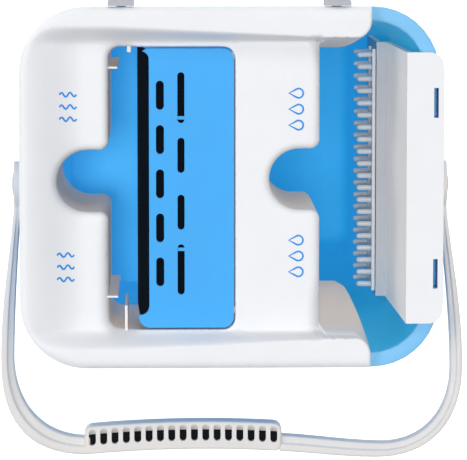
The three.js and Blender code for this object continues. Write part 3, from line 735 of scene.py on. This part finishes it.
steel_wire = drawn_steel("drawn_steel_wire", "C9CCD0", "AEB2B7")
piece("plate_hinge_rod", rounded_copy("plate_hinge_pin", 0.25), steel_wire, "cover",
      "spring_steel", "plate_hinge_pin")
for where in ("rear", "front"):
    piece("plate_coil_" + where, rounded_copy("plate_spring_" + where, 0.04, 1, 60), steel_wire,
          "cover", "spring_steel", "plate_spring_" + where, flat_angle=70)


# ---------------------------------------------------------------------------
# Washing comb: a white ABS block that hooks over the tub's right rim, and two
# rows of grey polypropylene pegs that scrub the cloth as the mop goes down.
# ---------------------------------------------------------------------------
block = piece("comb_block_moulding", rounded_copy("comb_block", 1.0, 3), white_abs, "comb",
              "cover_white", "comb_block", flat_angle=50)
# painted shade: the block's foot, deep in the tub, is painted grey
comb_foot_painted_shade = moulded_plastic("abs_foot_painted_shade", "BCBFC5", "B5B8BE", 0.5, 0.8, 0.3)
# painted light: the faces of its left-facing sloping wall take a warmer grey and a glow
comb_wall_painted_light = moulded_plastic("white_abs_wall_painted_light", "D9D6D2", "D3D0CC", 0.5, 0.8, 0.2, 0.34)
block.data.materials.append(comb_foot_painted_shade)
block.data.materials.append(comb_wall_painted_light)
COMB_FOOT_TOP, COMB_WALL_TOP = 253, 362
for face in block.data.polygons:
    if face.center.z / MM < COMB_FOOT_TOP:
        face.material_index = 1
    elif face.normal.x < -0.5 and face.center.z / MM < COMB_WALL_TOP:
        face.material_index = 2

PEG_COUNT, PEG_PITCH, PEG_MID, PEG_R = 20, 6.95, -0.4, 1.7
PEG_ROOT, PEG_TIP, PEG_SHOULDER, PEG_NOSE = 84.9, 75.5, 3.0, 1.6
PEG_UP, RAIL_THICK = 4.0, 2.1
# grey polypropylene: soft satin, a little uneven in tone
grey_polypropylene = moulded_plastic(
    "grey_polypropylene", "D2D4D7", "C8CACE", 0.42, 0.8, 0.4)
for where in ("upper", "lower"):
    strip = "comb_strip_" + where
    low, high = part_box(strip)
    row = bmesh.new()
    low, high = low / MM, high / MM
    add_block(row, (RAIL_THICK, high.y - low.y, high.z - low.z),
              (high.x - RAIL_THICK / 2, (low.y + high.y) / 2, (low.z + high.z) / 2))
    bmesh.ops.bevel(row, geom=row.edges[:], offset=0.4 * MM, segments=2, profile=0.5,
                    affect="EDGES", material=-1)
    peg_z = low.z + PEG_UP
    for i in range(PEG_COUNT):
        peg_y = PEG_MID + (i - (PEG_COUNT - 1) / 2) * PEG_PITCH
        stations = [(PEG_ROOT, PEG_R), (PEG_TIP + PEG_SHOULDER, PEG_R * 0.97)]
        stations += [(PEG_TIP + PEG_NOSE * (1 - math.sin(a)), PEG_R * 0.95 * math.cos(a))
                     for a in (0.0, 0.4, 0.8, 1.15, 1.45)]
        rings = [[(x, peg_y + r * math.cos(t * math.pi / 7), peg_z + r * math.sin(t * math.pi / 7))
                  for t in range(14)] for x, r in stations]
        skin(row, rings, cap=True)
    piece("comb_pegs_" + where, row, grey_polypropylene, "comb", "comb_grey", strip)


# ---------------------------------------------------------------------------
# Bail: a white polypropylene handle with an L-shaped section, so that it can
# be moulded thin and stay stiff. Its grip sits left of the middle and has
# seventeen finger slots over a near-black insert, painted shade in the slots.
# ---------------------------------------------------------------------------
BAIL_SPAN, ARM_THICK, EYE_R, BAIL_HALF_HIGH = 117.7, 3.4, 12.5, 6.5


def bezier(points, steps):
    a, b, c, d = (np.array(p, float) for p in points)
    t = np.linspace(0, 1, steps + 1)[:, None]
    return (1 - t) ** 3 * a + 3 * (1 - t) ** 2 * t * b + 3 * (1 - t) * t * t * c + t ** 3 * d


# each side runs from its eye to the grip's end: outer edge first, then inner edge
LEFT_EDGES = (
    (((BAIL_SPAN, -12.5), (119.5, -34), (125.3, -66), (125.3, -96)),
     ((125.3, -96), (125.8, -126), (114, -148.4), (79, -148.4)),
     ((79, -148.4), (78.4, -148.4), (77.7, -148.3), (77, -148.3))),
    (((BAIL_SPAN - ARM_THICK, -12.5), (115.6, -34), (118, -64), (118.4, -94.5)),
     ((118.4, -94.5), (118.6, -120), (104, -138.8), (79, -139.2)),
     ((79, -139.2), (78.4, -139.2), (77.7, -139.1), (77, -139.1))),
)
RIGHT_EDGES = (
    (((BAIL_SPAN, -12.5), (119.5, -34), (127, -66), (127, -100)),
     ((127, -100), (127, -131), (110, -150.5), (80, -150.5)),
     ((80, -150.5), (62, -150.4), (44, -147.8), (27, -146.9))),
    (((BAIL_SPAN - ARM_THICK, -12.5), (115.6, -34), (120.5, -68), (120.8, -100)),
     ((120.8, -100), (121.5, -126), (106, -142.8), (83.7, -142.9)),
     ((83.7, -142.9), (64, -142.6), (46, -139.4), (27, -138.4))),
)
EYE_YS = (12.3, 11.8, 10.6, 8.6, 5.6, 2.0, -2.0, -5.6, -8.6, -10.9)
# the section across the bail: 1 is its outer face and -1 its inner face; heights are shares
SECTION = (
    (1.0, -0.8), (1.0, 0.75), (0.9, 0.95), (0.7, 1.0), (0.16, 1.0), (0.02, 0.94), (-0.08, 0.78),
    (-0.2, 0.7), (-0.75, 0.66), (-0.94, 0.58), (-1.0, 0.42), (-1.0, -0.8), (-0.85, -1.0),
    (0.85, -1.0),
)


def bail_side(hoop, edges, sign):
    """One arm of the bail, swept from its eye to just inside the grip's end."""
    lines = []
    for curves, eye_x in zip(edges, (BAIL_SPAN, BAIL_SPAN - ARM_THICK)):
        line = np.concatenate([bezier(c, n)[(k > 0):] for k, (c, n) in
                               enumerate(zip(curves, (12, 16, 6)))])
        lines.append(np.concatenate([[(eye_x, y) for y in EYE_YS], line]))
    rings = []
    for (ox, oy), (ix, iy) in zip(*lines):
        high = max(math.sqrt(EYE_R ** 2 - oy * oy) if abs(oy) < EYE_R else 0,
                   BAIL_HALF_HIGH if oy < 0 else 0)
        # the step in the section fades out where the arm turns into the eye
        step = float(ease(-oy, 14, 34))
        ring = []
        for across, up in SECTION:
            share = 1 - (1 - up) * step if up > 0.5 and across < 0.1 else up
            ring.append((BAIL_MID + sign * ((ox + ix) + across * (ox - ix)) / 2,
                         ((oy + iy) + across * (oy - iy)) / 2, PIVOT_Z + share * high))
        rings.append(ring)
    skin(hoop, rings, cap=True)


hoop = bmesh.new()
bail_side(hoop, LEFT_EDGES, -1)
bail_side(hoop, RIGHT_EDGES, 1)

GRIP = {"x0": -79.0, "x1": 29.0, "y0": -147.4, "y1": -132.0, "z0": 327.5, "z1": 341.0,
        "top": 3.0, "corner": 4.0}
GRIP_SLOTS, GRIP_PITCH, GRIP_SLOT_WIDE = 17, 6.21, 3.8
GRIP_SLOT_Y = (-142.6, -133.6)
GRIP_WALL = 1.2


def grip_bow(x):
    """The grip follows the bail's slight bow."""
    return 1.9 - 0.00071 * (x + 15) ** 2


def even_box(inset, z):
    """A rounded box about the grip with the same points at every inset."""
    x0, x1, y0, y1 = (GRIP["x0"] + inset, GRIP["x1"] - inset, GRIP["y0"] + inset,
                      GRIP["y1"] - inset)
    turns = 6
    corners = rounded_box(x0, x1, y0, y1, max(GRIP["corner"] - inset, 0.6), turns)
    loop = []
    for k in range(4):
        first, last = (turns + 1) * k, (turns + 1) * k + turns
        loop += corners[first:last + 1]
        (ax, ay), (bx, by) = corners[last], corners[(last + 1) % len(corners)]
        parts = 26 if k % 2 == 0 else 3
        loop += [(ax + (bx - ax) * t / parts, ay + (by - ay) * t / parts)
                 for t in range(1, parts)]
    return [(x, y, z) for x, y in loop]


middle_x = (GRIP["x0"] + GRIP["x1"]) / 2
slot_middles = [middle_x + (i - GRIP_SLOTS // 2) * GRIP_PITCH for i in range(GRIP_SLOTS)]
slot_loops = [rounded_box(x - GRIP_SLOT_WIDE / 2, x + GRIP_SLOT_WIDE / 2,
                          GRIP_SLOT_Y[0], GRIP_SLOT_Y[1], GRIP_SLOT_WIDE / 2 - 0.05, 5)
              for x in slot_middles]
grip = bmesh.new()
top_ring = even_box(1.3, GRIP["z1"])
for level, facing_up in ((GRIP["z1"], True), (GRIP["z1"] - GRIP["top"], False)):
    loop = [p[:2] for p in (top_ring if facing_up else even_box(GRIP_WALL, level))]
    flat, faces = meshed_plan(loop, slot_loops, [])
    corner = {}
    for f in faces:
        for i in f:
            if i not in corner:
                corner[i] = grip.verts.new(Vector((flat[i][0], flat[i][1], level)) * MM)
        grip.faces.new([corner[i] for i in f])
for loop in slot_loops:
    skin(grip, [[(x, y, z) for x, y in loop]
                for z in (GRIP["z1"], GRIP["z1"] - 0.4, GRIP["z1"] - GRIP["top"])])
skin(grip, [top_ring, even_box(0.6, 340.8), even_box(0.15, 340.2), even_box(0, 339.4),
            even_box(0, 334), even_box(0, 328.2), even_box(0.5, GRIP["z0"]),
            even_box(1.6, GRIP["z0"]),
            even_box(GRIP_WALL, 328), even_box(GRIP_WALL, GRIP["z1"] - GRIP["top"])])
bmesh.ops.remove_doubles(grip, verts=grip.verts, dist=2e-6)
# each slot's end nearest the tub is a ramp that runs down to the insert
for loop in slot_loops:
    x0, x1 = min(p[0] for p in loop) + 0.05, max(p[0] for p in loop) - 0.05
    y1, z1 = GRIP_SLOT_Y[1] - 0.1, GRIP["z1"] - 0.25
    wedge = [(y1, z1), (y1, z1 - 2.7), (y1 - 3.1, z1 - 2.7), (y1 - 2.1, z1 - 1.6),
             (y1 - 0.9, z1 - 0.5)]
    skin(grip, [[(x, y, z) for y, z in wedge] for x in (x0, x1)], cap=True)
for v in grip.verts:
    v.co.y += grip_bow(v.co.x / MM) * MM
grip_mesh = bpy.data.meshes.new("grip_scratch")
grip.to_mesh(grip_mesh)
grip.free()
hoop.from_mesh(grip_mesh)
bpy.data.meshes.remove(grip_mesh)
# white polypropylene: a little darker and warmer than the cover, satin
white_polypropylene = moulded_plastic(
    "white_polypropylene", "D9D6D3", "D2CFCC", 0.5, 0.8, 0.2)
piece("bail_moulding", hoop, white_polypropylene, "bail", "cover_white", "bail", flat_angle=55)

# dark insert in the hollow of the grip: painted shade, so that the finger slots show dark
insert = bmesh.new()
inset_rings = [[(x, y + grip_bow(x), z) for x, y, _ in even_box(inset, z)]
               for inset, z in ((2.8, 328.2), (2.3, 329.0), (2.3, 336.8), (2.9, 337.6))]
skin(insert, inset_rings, cap=True)
# painted shade: nearly black and dull, with a fine grain
grip_painted_shade = moulded_plastic("black_grip_painted_shade", "14161A", "0E1013", 0.8, 0.9, 0.1)
piece("grip_shade_insert", insert, grip_painted_shade, "bail", "grip_rubber", "grip_insert")

# snap rivets through the bail's eyes, in acetal: hard, pale grey and a little waxy; the latches take this
# grey as painted shade
grey_acetal_and_painted_shade = moulded_plastic("grey_acetal_and_painted_shade", "AAACB1", "A2A4AA", 0.45, 1.0, 0.3)
RIVET_ROOT = 109.8
RIVET = ((0, 2.6), (0.4, 3.0), (7.9, 3.0), (7.9, 5.9), (8.3, 6.0), (8.5, 5.6), (8.8, 3.6),
         (8.9, 1.0))
for where, side in (("left", -1), ("right", 1)):
    root = BAIL_MID + side * RIVET_ROOT
    rivet = bmesh.new()
    skin(rivet, [[(root + side * x, r * math.cos(t * math.pi / 16),
                   PIVOT_Z + r * math.sin(t * math.pi / 16)) for t in range(32)]
                 for x, r in RIVET], cap=True)
    piece("bail_rivet_" + where, rivet, grey_acetal_and_painted_shade, "bucket", "latch_grey", "bail_pin_" + where)


# ---------------------------------------------------------------------------
# Rear latches: two latches behind the tub's rear rim, drawn in pale grey as
# painted shade, that turn outwards on steel pins in its knuckles.
# ---------------------------------------------------------------------------
for where in ("left", "right"):
    piece("latch_moulding_" + where, rounded_copy("latch_" + where, 0.7, 3), grey_acetal_and_painted_shade,
          "latch_" + where, "latch_grey", "latch_" + where)
    piece("latch_rod_" + where, rounded_copy("latch_pin_" + where, 0.2), steel_wire, "bucket",
          "spring_steel", "latch_pin_" + where)
